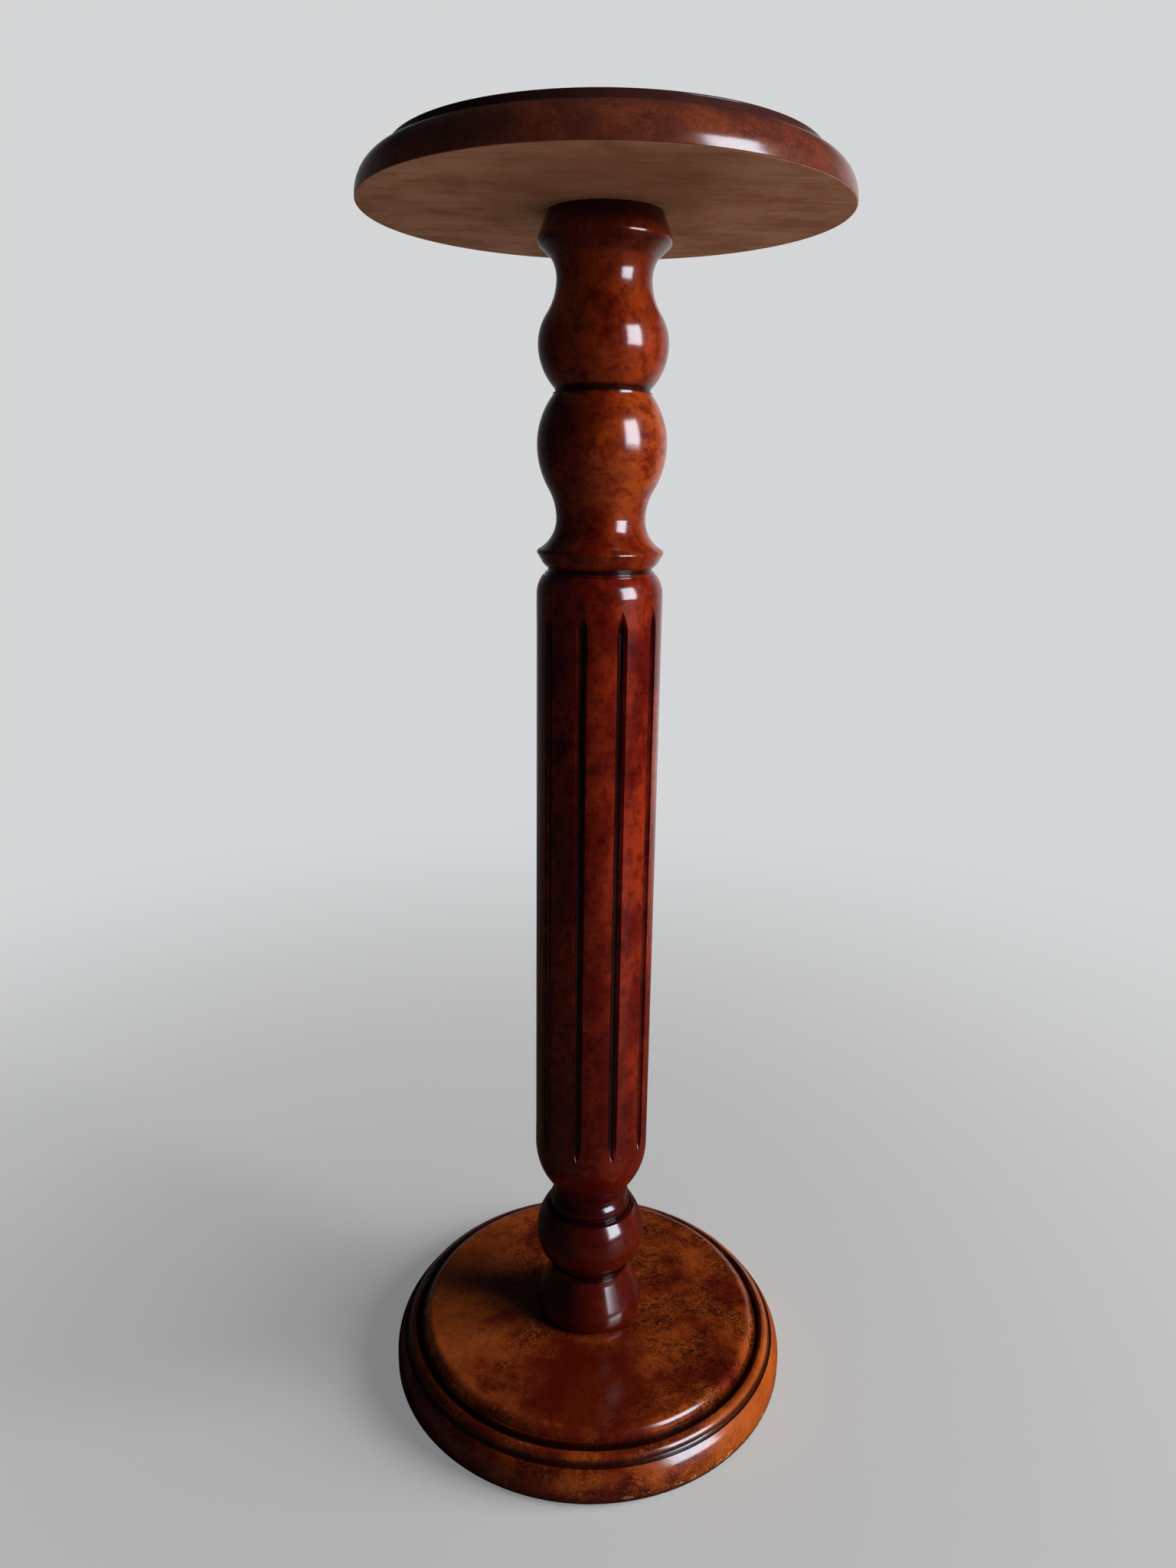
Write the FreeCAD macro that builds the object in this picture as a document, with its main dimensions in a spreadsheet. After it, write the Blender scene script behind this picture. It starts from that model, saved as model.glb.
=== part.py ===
"""Pedestal column stand: a round top on a turned and fluted column over a moulded round base.

Millimetres, +Z up, origin on the floor under the middle of the column. The round pieces are
turnings: half of the section is drawn in the XZ plane and turned once round the Z axis. The
pieces stand on each other, so each one is placed at the sum of the heights under it.
"""
import FreeCAD, Part
import math
import os
import Sketcher

os.makedirs("parts", exist_ok=True)
doc = FreeCAD.newDocument("pedestal_column_stand")

# --- driving dimensions ---------------------------------------------------------------------

DIMENSIONS = {
    # felt pads under the base
    "pad_thickness": 1.5,
    "pad_diameter": 22.0,
    "pad_inset": 29.0,
    # base board
    "base_radius": 125.0,
    "base_thickness": 33.5,
    "base_edge_round": 3.0,
    # mouldings of the base: widths run in from the edge, drops run down from the table
    "torus_width": 4.6,
    "torus_drop": 11.5,
    "outer_groove_width": 1.0,
    "outer_groove_drop": 0.4,
    "outer_fillet_width": 0.6,
    "outer_fillet_drop": 1.2,
    "ring_foot_width": 0.5,
    "ring_foot_drop": 0.5,
    "ring_width": 4.4,
    "ring_drop": 4.7,
    "ring_back_width": 2.0,
    "ring_back_drop": 1.6,
    "inner_groove_width": 1.5,
    "inner_groove_drop": 1.2,
    "inner_wall_width": 1.4,
    "inner_wall_drop": 3.7,
    "inner_fillet_width": 1.2,
    "table_round_width": 5.4,
    "table_round_drop": 5.6,
    # foot turning: each member has its rise over the one below it
    "foot_sole_radius": 31.6,
    "foot_ball_radius": 34.2,
    "foot_ball_rise": 5.0,
    "foot_slope_start_radius": 32.3,
    "foot_slope_start_rise": 8.4,
    "foot_slope_end_radius": 25.6,
    "foot_slope_end_rise": 14.8,
    "foot_neck_radius": 24.4,
    "foot_neck_rise": 5.4,
    "foot_fillet_radius": 25.6,
    "foot_bulb_start_radius": 24.8,
    "foot_bulb_start_rise": 2.9,
    "foot_bulb_radius": 34.3,
    "foot_bulb_rise": 17.8,
    "foot_bulb_end_radius": 28.2,
    "foot_bulb_end_rise": 19.0,
    "foot_top_fillet_radius": 26.4,
    "foot_top_radius": 24.7,
    "foot_top_rise": 1.7,
    # fluted shaft: rises run up from its foot, drops run down from its head
    "shaft_length": 397.6,
    "shaft_radius": 34.8,
    "shaft_end_radius": 24.5,
    "shaft_bead_radius": 25.2,
    "shaft_bead_rise": 1.2,
    "shaft_bead_end_radius": 23.0,
    "shaft_bead_end_rise": 5.6,
    "shaft_neck_radius": 22.3,
    "shaft_neck_rise": 2.2,
    "shaft_swell_rise": 33.6,
    "shaft_swell_share": 0.2,
    "shaft_shoulder_drop": 10.4,
    "shaft_shoulder_radius": 31.1,
    "shaft_fillet_radius": 30.1,
    "shaft_fillet_groove": 0.5,
    "shaft_head_radius": 28.6,
    "shaft_head_rise": 1.1,
    # flutes in the shaft
    "flute_count": 10,
    "flute_turn": 3.2,
    "flute_cutter_radius": 3.0,
    "flute_over_swell": 4.0,
    "flute_under_shoulder": 6.5,
    "flute_run_out": 12.0,
    # vase turning: each member has its rise over the one below it
    "vase_foot_radius": 28.6,
    "vase_foot_rise": 1.6,
    "ring_sole_radius": 29.6,
    "ring_flare_radius": 31.4,
    "ring_flare_rise": 2.0,
    "ring_side_radius": 34.2,
    "ring_side_rise": 4.8,
    "ring_arris_radius": 34.6,
    "ring_arris_rise": 0.9,
    "ring_back_radius": 33.9,
    "ring_back_rise": 1.6,
    "low_neck_radius": 24.2,
    "low_neck_rise": 16.1,
    "low_bulb_radius": 34.7,
    "low_bulb_rise": 38.5,
    "low_bulb_share": 0.4,
    "waist_fillet_radius": 26.2,
    "waist_fillet_rise": 25.1,
    "high_bulb_start_radius": 25.4,
    "high_bulb_start_rise": 2.0,
    "high_bulb_radius": 34.25,
    "high_bulb_rise": 21.9,
    "high_bulb_share": 0.46,
    "high_neck_radius": 24.8,
    "high_neck_rise": 31.5,
    "collar_cove_radius": 27.4,
    "collar_cove_rise": 9.4,
    "collar_flare_radius": 32.3,
    "collar_flare_rise": 4.7,
    "collar_radius": 34.6,
    "collar_rise": 4.1,
    "collar_cone_radius": 34.4,
    "collar_cone_rise": 1.2,
    "collar_top_radius": 30.0,
    "collar_top_rise": 11.6,
    # the thin fillets that stand in the grooves of the turnings
    "fillet_width": 1.0,
    "fillet_groove_width": 0.7,
    "fillet_groove_depth": 1.2,
    # top board: widths run in from the edge, rises run up from the underside
    "top_radius": 125.0,
    "top_thickness": 24.0,
    "top_edge_break": 0.5,
    "top_edge_rise": 1.5,
    "top_ovolo_width": 13.8,
    "top_ovolo_rise": 18.0,
    "top_step_width": 1.6,
    "top_lip_lean": 1.1,
    "top_lip_round": 0.8,
    # dowels between the turnings
    "dowel_diameter": 20.0,
    "dowel_length": 60.0,
    "dowel_chamfer": 2.0,
    "dowel_fit": 0.1,
    "dowel_end_room": 1.0,
    # locating pins between the turnings and the two boards
    "pin_diameter": 8.0,
    "pin_length": 24.0,
    "pin_chamfer": 1.0,
    "pin_reach": 18.0,
    "pin_fit": 0.1,
    "pin_end_room": 0.5,
    # stud, bolt and threaded inserts
    "thread_diameter": 8.0,
    "thread_chamfer": 1.0,
    "thread_fit": 0.1,
    "hole_fit": 0.4,
    "hole_end_room": 2.0,
    "insert_diameter": 12.0,
    "insert_length": 16.0,
    "insert_fit": 0.1,
    "stud_length": 58.0,
    "stud_point_length": 7.0,
    "stud_point_radius": 1.0,
    "stud_fit": 0.1,
    "bolt_length": 42.0,
    "bolt_head_diameter": 14.0,
    "bolt_head_height": 8.0,
    "bolt_head_chamfer": 1.0,
    "bolt_socket_width": 6.0,
    "bolt_socket_depth": 4.5,
    "washer_diameter": 24.0,
    "washer_thickness": 2.0,
    "washer_fit": 0.3,
    "counterbore_depth": 12.5,
    "counterbore_fit": 0.8,
}

sheet = doc.addObject("Spreadsheet::Sheet", "Sizes")
for row, (name, number) in enumerate(DIMENSIONS.items(), start=1):
    sheet.set(f"A{row}", name)
    sheet.set(f"B{row}", str(number))
    sheet.setAlias(f"B{row}", name)
doc.recompute()


class Size:
    """A number together with the sheet expression that gives it."""

    def __init__(self, value, text):
        self.value = float(value)
        self.text = text

    def __add__(self, other):
        other = as_size(other)
        return Size(self.value + other.value, f"({self.text} + {other.text})")

    def __sub__(self, other):
        other = as_size(other)
        return Size(self.value - other.value, f"({self.text} - {other.text})")

    def __mul__(self, other):
        other = as_size(other)
        return Size(self.value * other.value, f"({self.text} * {other.text})")

    def __truediv__(self, other):
        other = as_size(other)
        return Size(self.value / other.value, f"({self.text} / {other.text})")

    def __neg__(self):
        return Size(-self.value, f"(-1 * {self.text})")


def as_size(number):
    return number if isinstance(number, Size) else Size(number, repr(float(number)))


def sized(name):
    """The size that stands in the sheet under that name."""
    return Size(sheet.get(name), f"{sheet.Name}.{name}")


# --- half sections of turned pieces ---------------------------------------------------------

class Outline:
    """Half a section: points by radius and height, joined by lines and by upright arcs.

    An upright arc runs along the axis at one of its two ends, as on the belly of a bulb and
    in the hollow of a neck, so its two ends are enough to give its radius.
    """

    def __init__(self, radius, height):
        self.points = [(as_size(radius), as_size(height))]
        self.kinds = []

    def _go(self, kind, radius, height):
        self.points.append((as_size(radius), as_size(height)))
        self.kinds.append(kind)

    def above(self, rise):
        """The height that lies that named rise over the last point."""
        return self.points[-1][1] + sized(rise)

    def below(self, drop):
        """The height that lies that named drop under the last point."""
        return self.points[-1][1] - sized(drop)

    def line(self, radius, height):
        self._go("line", radius, height)

    def arc_from_upright(self, radius, height):
        self._go("upright first", radius, height)

    def arc_to_upright(self, radius, height):
        self._go("upright last", radius, height)

    def ogee(self, radius, height, share):
        """A smooth S of two upright arcs, which meet on the chord at that share of it."""
        start_radius, start_height = self.points[-1]
        middle_radius = start_radius + (radius - start_radius) * share
        middle_height = start_height + (height - start_height) * share
        self.arc_from_upright(middle_radius, middle_height)
        self.arc_to_upright(radius, height)

    def fillet(self, radius):
        """A groove, and a thin square fillet that stands in it."""
        depth = sized("fillet_groove_depth")
        self.line(radius - depth, self.above("fillet_groove_width"))
        self.line(radius, self.points[-1][1])
        self.line(radius, self.above("fillet_width"))
        self.line(radius - depth, self.points[-1][1])


def arc_radius(start, end):
    """Radius of an upright arc between two points."""
    across = end[0] - start[0] if end[0].value > start[0].value else start[0] - end[0]
    along = end[1] - start[1]
    return (across * across + along * along) / (across * 2)


def draw_edge(sketch, kind, start, end):
    """Adds one edge of an outline; gives its number and the numbers of its two ends."""
    tail = FreeCAD.Vector(start[0].value, start[1].value, 0)
    head = FreeCAD.Vector(end[0].value, end[1].value, 0)
    if kind == "line":
        return sketch.addGeometry(Part.LineSegment(tail, head), False), 1, 2
    upright, other = (tail, head) if kind == "upright first" else (head, tail)
    radius = arc_radius(start, end).value
    centre = upright + FreeCAD.Vector(math.copysign(radius, other.x - upright.x), 0, 0)
    circle = Part.Circle(centre, FreeCAD.Vector(0, 0, 1), radius)
    tail_angle = math.atan2(tail.y - centre.y, tail.x - centre.x)
    head_angle = math.atan2(head.y - centre.y, head.x - centre.x)
    if (head_angle - tail_angle) % (2 * math.pi) < math.pi:
        return sketch.addGeometry(Part.ArcOfCircle(circle, tail_angle, head_angle), False), 1, 2
    return sketch.addGeometry(Part.ArcOfCircle(circle, head_angle, tail_angle), False), 2, 1


def bind(sketch, kind, *reference_and_size):
    """Adds a dimension to a sketch and ties it to the sheet."""
    *reference, size = reference_and_size
    number = sketch.addConstraint(Sketcher.Constraint(kind, *reference, size.value))
    sketch.setExpression(f"Constraints[{number}]", size.text)


def place_point(sketch, geometry, end, across, along):
    """Ties a point of a sketch to its two distances from the sketch's origin."""
    for kind, distance, axis in (("DistanceX", across, -2), ("DistanceY", along, -1)):
        if abs(distance.value) < 1e-9:
            sketch.addConstraint(Sketcher.Constraint("PointOnObject", geometry, end, axis))
        elif distance.value > 0:
            bind(sketch, kind, -1, 1, geometry, end, distance)
        else:
            bind(sketch, kind, geometry, end, -1, 1, -distance)


def origin_plane(body, role):
    return next(item for item in body.Origin.OriginFeatures if item.Role == role)


def new_body(name):
    body = doc.addObject("PartDesign::Body", name)
    body.Label = name
    return body


def new_sketch(body, name, role, height=None):
    """A sketch on one of the body's own planes, or on a level face at that height."""
    sketch = body.newObject("Sketcher::SketchObject", name)
    sketch.AttachmentSupport = (origin_plane(body, role), [""])
    sketch.MapMode = "FlatFace"
    if height is not None:
        sketch.setExpression("AttachmentOffset.Base.z", height.text)
    return sketch


def draw_outline(sketch, outline):
    """Draws a closed outline, joins its edges and ties every point and arc to the sheet."""
    points = outline.points
    kinds = outline.kinds + ["line"]
    count = len(points)
    edges = []
    for number, kind in enumerate(kinds):
        edges.append(draw_edge(sketch, kind, points[number], points[(number + 1) % count]))
    for number, (geometry, first, last) in enumerate(edges):
        following, following_first, _ = edges[(number + 1) % count]
        sketch.addConstraint(
            Sketcher.Constraint("Coincident", geometry, last, following, following_first))
    for number, (geometry, first, last) in enumerate(edges):
        place_point(sketch, geometry, first, *points[number])
        if kinds[number] != "line":
            bind(sketch, "Radius", geometry,
                 arc_radius(points[number], points[(number + 1) % count]))


def turn(name, outline):
    """A body turned from its half section."""
    body = new_body(name)
    sketch = new_sketch(body, f"{name}_section", "XZ_Plane")
    draw_outline(sketch, outline)
    revolution = body.newObject("PartDesign::Revolution", f"{name}_turning")
    revolution.Profile = sketch
    revolution.ReferenceAxis = (sketch, ["V_Axis"])
    revolution.Angle = 360.0
    return body


def stand_at(item, height, across=None, angle=0.0):
    """Places a piece at its height, and off the axis where it stands out at an angle."""
    item.setExpression("Placement.Base.z", height.text)
    if across is not None:
        item.setExpression("Placement.Base.x", (across * math.cos(math.radians(angle))).text)
        item.setExpression("Placement.Base.y", (across * math.sin(math.radians(angle))).text)


def pocket(body, name, sketch, depth, upward):
    """A blind pocket from the sketch, cut up or down along the axis."""
    feature = body.newObject("PartDesign::Pocket", name)
    feature.Profile = sketch
    feature.setExpression("Length", depth.text)
    feature.Reversed = upward
    return feature


def drill_pin_holes(body, height, upward):
    """Two blind holes for the locating pins, in the flat face at that height."""
    sketch = new_sketch(body, f"{body.Name}_pin_marks", "XY_Plane", height)
    radius = sized("pin_diameter") / 2 + sized("pin_fit")
    for reach in (sized("pin_reach"), -sized("pin_reach")):
        centre = FreeCAD.Vector(reach.value, 0, 0)
        circle = Part.Circle(centre, FreeCAD.Vector(0, 0, 1), radius.value)
        geometry = sketch.addGeometry(circle, False)
        place_point(sketch, geometry, 3, reach, as_size(0))
        bind(sketch, "Radius", geometry, radius)
    depth = sized("pin_length") / 2 + sized("pin_end_room")
    pocket(body, f"{body.Name}_pin_holes", sketch, depth, upward)


# --- sizes that several pieces share --------------------------------------------------------

DOWEL_BORE_RADIUS = sized("dowel_diameter") / 2 + sized("dowel_fit")
DOWEL_BORE_DEPTH = sized("dowel_length") / 2 + sized("dowel_end_room")
THREAD_RADIUS = sized("thread_diameter") / 2
HOLE_RADIUS = THREAD_RADIUS + sized("hole_fit")
INSERT_BORE_RADIUS = sized("insert_diameter") / 2 + sized("insert_fit")
BOARD_OVER_WASHER = sized("base_thickness") - sized("counterbore_depth")
BOLT_IN_FOOT = sized("bolt_length") - sized("washer_thickness") - BOARD_OVER_WASHER
STUD_IN_VASE = sized("stud_length") - sized("insert_length")
WASHER_LEVEL = sized("pad_thickness") + sized("counterbore_depth") - sized("washer_thickness")


# --- the five turned pieces that are seen ---------------------------------------------------

def make_base_board():
    """The moulded base: a flat table, a ring bead and a torus, parted by two grooves."""
    thickness = sized("base_thickness")
    counterbore = sized("washer_diameter") / 2 + sized("counterbore_fit")
    edge = sized("base_radius")
    torus_top = edge - sized("torus_width")
    outer_groove = torus_top - sized("outer_groove_width")
    outer_fillet = outer_groove - sized("outer_fillet_width")
    ring_foot = outer_fillet - sized("ring_foot_width")
    ring_crown = ring_foot - sized("ring_width")
    ring_back = ring_crown - sized("ring_back_width")
    inner_groove = ring_back - sized("inner_groove_width")
    inner_fillet = inner_groove - sized("inner_wall_width")
    table_edge = inner_fillet - sized("inner_fillet_width")
    outline = Outline(HOLE_RADIUS, sized("counterbore_depth"))
    outline.line(HOLE_RADIUS, thickness)
    outline.line(table_edge - sized("table_round_width"), thickness)
    outline.arc_to_upright(table_edge, outline.below("table_round_drop"))
    outline.line(inner_fillet, outline.points[-1][1])
    outline.line(inner_groove, outline.below("inner_wall_drop"))
    outline.line(ring_back, outline.above("inner_groove_drop"))
    outline.line(ring_crown, outline.above("ring_back_drop"))
    outline.arc_to_upright(ring_foot, outline.below("ring_drop"))
    outline.line(outer_fillet, outline.below("ring_foot_drop"))
    outline.line(outer_groove, outline.below("outer_fillet_drop"))
    outline.line(torus_top, outline.above("outer_groove_drop"))
    outline.arc_to_upright(edge, outline.below("torus_drop"))
    outline.line(edge, sized("base_edge_round"))
    outline.arc_from_upright(edge - sized("base_edge_round"), 0)
    outline.line(counterbore, 0)
    outline.line(counterbore, sized("counterbore_depth"))
    body = turn("base_board", outline)
    drill_pin_holes(body, thickness, upward=False)
    stand_at(body, sized("pad_thickness"))
    return body


def make_foot_turning(level):
    """The foot: a ball that slopes in to a neck, a bulb over it, and a fillet in each groove.

    Gives the piece and the level of its head.
    """
    bore_depth = BOLT_IN_FOOT + sized("hole_end_room")
    outline = Outline(0, bore_depth)
    outline.line(HOLE_RADIUS, bore_depth)
    outline.line(HOLE_RADIUS, sized("insert_length"))
    outline.line(INSERT_BORE_RADIUS, sized("insert_length"))
    outline.line(INSERT_BORE_RADIUS, 0)
    outline.line(sized("foot_sole_radius"), 0)
    outline.arc_to_upright(sized("foot_ball_radius"), sized("foot_ball_rise"))
    outline.arc_from_upright(sized("foot_slope_start_radius"),
                             outline.above("foot_slope_start_rise"))
    outline.line(sized("foot_slope_end_radius"), outline.above("foot_slope_end_rise"))
    outline.arc_to_upright(sized("foot_neck_radius"), outline.above("foot_neck_rise"))
    outline.fillet(sized("foot_fillet_radius"))
    outline.line(sized("foot_bulb_start_radius"), outline.above("foot_bulb_start_rise"))
    outline.arc_to_upright(sized("foot_bulb_radius"), outline.above("foot_bulb_rise"))
    outline.arc_from_upright(sized("foot_bulb_end_radius"), outline.above("foot_bulb_end_rise"))
    outline.fillet(sized("foot_top_fillet_radius"))
    height = outline.above("foot_top_rise")
    outline.line(sized("foot_top_radius"), height)
    outline.line(DOWEL_BORE_RADIUS, height)
    outline.line(DOWEL_BORE_RADIUS, height - DOWEL_BORE_DEPTH)
    outline.line(0, height - DOWEL_BORE_DEPTH)
    body = turn("foot_turning", outline)
    drill_pin_holes(body, as_size(0), upward=True)
    stand_at(body, level)
    return body, level + height


def cut_flutes(body, bottom, top):
    """Round-bottomed flutes that run out to a point, cut by one spindle and repeated."""
    surface = sized("shaft_radius")
    deepest = surface - sized("flute_cutter_radius")
    outline = Outline(surface, bottom)
    outline.arc_to_upright(deepest, bottom + sized("flute_run_out"))
    outline.line(deepest, top - sized("flute_run_out"))
    outline.arc_from_upright(surface, top)
    sketch = new_sketch(body, "flute_section", "XZ_Plane")
    draw_outline(sketch, outline)
    closing_edge = len(outline.kinds)
    foot = FreeCAD.Vector(surface.value, bottom.value, 0)
    head = FreeCAD.Vector(surface.value, top.value, 0)
    axis = sketch.addGeometry(Part.LineSegment(foot, head), True)
    sketch.addConstraint(Sketcher.Constraint("Coincident", axis, 1, closing_edge, 2))
    sketch.addConstraint(Sketcher.Constraint("Coincident", axis, 2, closing_edge, 1))
    groove = body.newObject("PartDesign::Groove", "first_flute")
    groove.Profile = sketch
    groove.ReferenceAxis = (sketch, ["Axis0"])
    groove.Angle = 360.0
    body.Tip = groove
    pattern = body.newObject("PartDesign::PolarPattern", "flutes")
    pattern.Originals = [groove]
    pattern.Axis = (origin_plane(body, "Z_Axis"), [""])
    pattern.Angle = 360.0
    pattern.setExpression("Occurrences", sized("flute_count").text)
    body.Tip = pattern


def make_fluted_shaft(level):
    """The long shaft: a bead and a neck at the foot, a swell, the flutes and a shoulder."""
    length = sized("shaft_length")
    fillet = sized("shaft_fillet_radius")
    fillet_top = length - sized("shaft_head_rise")
    fillet_foot = fillet_top - sized("fillet_width")
    shoulder_end = fillet_foot - sized("shaft_fillet_groove")
    shoulder = shoulder_end - sized("shaft_shoulder_drop")
    outline = Outline(0, DOWEL_BORE_DEPTH)
    outline.line(DOWEL_BORE_RADIUS, DOWEL_BORE_DEPTH)
    outline.line(DOWEL_BORE_RADIUS, 0)
    outline.line(sized("shaft_end_radius"), 0)
    outline.arc_to_upright(sized("shaft_bead_radius"), sized("shaft_bead_rise"))
    outline.arc_from_upright(sized("shaft_bead_end_radius"), outline.above("shaft_bead_end_rise"))
    outline.line(sized("shaft_neck_radius"), outline.above("shaft_neck_rise"))
    swell = outline.above("shaft_swell_rise")
    outline.ogee(sized("shaft_radius"), swell, sized("shaft_swell_share"))
    outline.line(sized("shaft_radius"), shoulder)
    outline.arc_from_upright(sized("shaft_shoulder_radius"), shoulder_end)
    outline.line(fillet - sized("fillet_groove_depth"), shoulder_end)
    outline.line(fillet - sized("fillet_groove_depth"), fillet_foot)
    outline.line(fillet, fillet_foot)
    outline.line(fillet, fillet_top)
    outline.line(sized("shaft_head_radius"), fillet_top)
    outline.line(sized("shaft_head_radius"), length)
    outline.line(DOWEL_BORE_RADIUS, length)
    outline.line(DOWEL_BORE_RADIUS, length - DOWEL_BORE_DEPTH)
    outline.line(0, length - DOWEL_BORE_DEPTH)
    body = turn("fluted_shaft", outline)
    cut_flutes(body, swell + sized("flute_over_swell"), shoulder - sized("flute_under_shoulder"))
    stand_at(body, level)
    body.setExpression("Placement.Rotation.Angle", sized("flute_turn").text)
    return body, level + length


def make_vase_turning(level):
    """The head of the column: a sharp ring, two bulbs over necks and a collar for the top.

    Gives the piece and the level of its head.
    """
    outline = Outline(0, DOWEL_BORE_DEPTH)
    outline.line(DOWEL_BORE_RADIUS, DOWEL_BORE_DEPTH)
    outline.line(DOWEL_BORE_RADIUS, 0)
    outline.line(sized("vase_foot_radius"), 0)
    outline.line(sized("vase_foot_radius"), sized("vase_foot_rise"))
    outline.line(sized("ring_sole_radius"), outline.points[-1][1])
    outline.line(sized("ring_flare_radius"), outline.above("ring_flare_rise"))
    outline.line(sized("ring_side_radius"), outline.above("ring_side_rise"))
    outline.arc_to_upright(sized("ring_arris_radius"), outline.above("ring_arris_rise"))
    outline.arc_from_upright(sized("ring_back_radius"), outline.above("ring_back_rise"))
    outline.arc_to_upright(sized("low_neck_radius"), outline.above("low_neck_rise"))
    outline.ogee(sized("low_bulb_radius"), outline.above("low_bulb_rise"),
                 sized("low_bulb_share"))
    waist = sized("waist_fillet_radius")
    outline.arc_from_upright(waist, outline.above("waist_fillet_rise"))
    outline.line(waist, outline.above("fillet_width"))
    outline.line(waist - sized("fillet_groove_depth"), outline.points[-1][1])
    outline.line(sized("high_bulb_start_radius"), outline.above("high_bulb_start_rise"))
    outline.arc_to_upright(sized("high_bulb_radius"), outline.above("high_bulb_rise"))
    outline.ogee(sized("high_neck_radius"), outline.above("high_neck_rise"),
                 sized("high_bulb_share"))
    outline.arc_from_upright(sized("collar_cove_radius"), outline.above("collar_cove_rise"))
    outline.line(sized("collar_flare_radius"), outline.above("collar_flare_rise"))
    outline.arc_to_upright(sized("collar_radius"), outline.above("collar_rise"))
    outline.arc_from_upright(sized("collar_cone_radius"), outline.above("collar_cone_rise"))
    height = outline.above("collar_top_rise")
    stud_bore = height - STUD_IN_VASE - sized("hole_end_room")
    outline.line(sized("collar_top_radius"), height)
    outline.line(THREAD_RADIUS + sized("stud_fit"), height)
    outline.line(THREAD_RADIUS + sized("stud_fit"), stud_bore)
    outline.line(0, stud_bore)
    body = turn("vase_turning", outline)
    drill_pin_holes(body, height, upward=False)
    stand_at(body, level)
    return body, level + height


def make_top_board(level):
    """The round top: a long ovolo edge that steps in under a thin flat lip."""
    thickness = sized("top_thickness")
    bore_depth = sized("insert_length") + sized("hole_end_room")
    edge = sized("top_radius")
    step = edge - sized("top_ovolo_width")
    lip = step - sized("top_step_width")
    outline = Outline(0, bore_depth)
    outline.line(HOLE_RADIUS, bore_depth)
    outline.line(HOLE_RADIUS, sized("insert_length"))
    outline.line(INSERT_BORE_RADIUS, sized("insert_length"))
    outline.line(INSERT_BORE_RADIUS, 0)
    outline.line(edge - sized("top_edge_break"), 0)
    outline.line(edge, sized("top_edge_break"))
    outline.line(edge, sized("top_edge_rise"))
    outline.arc_from_upright(step, outline.above("top_ovolo_rise"))
    outline.line(lip, outline.points[-1][1])
    lip_head = lip - sized("top_lip_lean")
    outline.line(lip_head, thickness - sized("top_lip_round"))
    outline.arc_from_upright(lip_head - sized("top_lip_round"), thickness)
    outline.line(0, thickness)
    body = turn("top_board", outline)
    drill_pin_holes(body, as_size(0), upward=True)
    stand_at(body, level)
    return body


# --- fixings inside and under the stand -----------------------------------------------------

def make_round_rod(name, diameter, length, chamfer):
    """A plain round rod with a chamfer on both ends."""
    radius = diameter / 2
    outline = Outline(0, 0)
    outline.line(radius - chamfer, 0)
    outline.line(radius, chamfer)
    outline.line(radius, length - chamfer)
    outline.line(radius - chamfer, length)
    outline.line(0, length)
    return turn(name, outline)


def make_dowel(name, joint_level):
    length = sized("dowel_length")
    body = make_round_rod(name, sized("dowel_diameter"), length, sized("dowel_chamfer"))
    stand_at(body, joint_level - length / 2)
    return body


def make_pin(name, joint_level, angle):
    length = sized("pin_length")
    body = make_round_rod(name, sized("pin_diameter"), length, sized("pin_chamfer"))
    stand_at(body, joint_level - length / 2, sized("pin_reach"), angle)
    return body


def make_insert_nut(name, level):
    """A sleeve with an inner thread, drawn plain, let into the end of a wooden piece."""
    bore = THREAD_RADIUS + sized("thread_fit")
    outline = Outline(bore, 0)
    outline.line(sized("insert_diameter") / 2, 0)
    outline.line(sized("insert_diameter") / 2, sized("insert_length"))
    outline.line(bore, sized("insert_length"))
    body = turn(name, outline)
    stand_at(body, level)
    return body


def make_top_stud(level):
    """A stud with a point that bites in the turning and a blunt end for the insert."""
    length = sized("stud_length")
    outline = Outline(0, 0)
    outline.line(sized("stud_point_radius"), 0)
    outline.line(THREAD_RADIUS, sized("stud_point_length"))
    outline.line(THREAD_RADIUS, length - sized("thread_chamfer"))
    outline.line(THREAD_RADIUS - sized("thread_chamfer"), length)
    outline.line(0, length)
    body = turn("top_stud", outline)
    stand_at(body, level - STUD_IN_VASE)
    return body


def make_base_bolt():
    """A socket head bolt that stands head down in the counterbore."""
    head_radius = sized("bolt_head_diameter") / 2
    head_height = sized("bolt_head_height")
    tip = head_height + sized("bolt_length")
    outline = Outline(0, 0)
    outline.line(head_radius - sized("bolt_head_chamfer"), 0)
    outline.line(head_radius, sized("bolt_head_chamfer"))
    outline.line(head_radius, head_height)
    outline.line(THREAD_RADIUS, head_height)
    outline.line(THREAD_RADIUS, tip - sized("thread_chamfer"))
    outline.line(THREAD_RADIUS - sized("thread_chamfer"), tip)
    outline.line(0, tip)
    body = turn("base_bolt", outline)
    corner = sized("bolt_socket_width") / math.sqrt(3)
    socket = Outline(corner, 0)
    for step in range(1, 6):
        angle = math.radians(60 * step)
        socket.line(corner * math.cos(angle), corner * (math.sin(angle) if step != 3 else 0))
    sketch = new_sketch(body, "socket_marks", "XY_Plane")
    draw_outline(sketch, socket)
    pocket(body, "hex_socket", sketch, sized("bolt_socket_depth"), upward=True)
    stand_at(body, WASHER_LEVEL - head_height)
    return body


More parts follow.
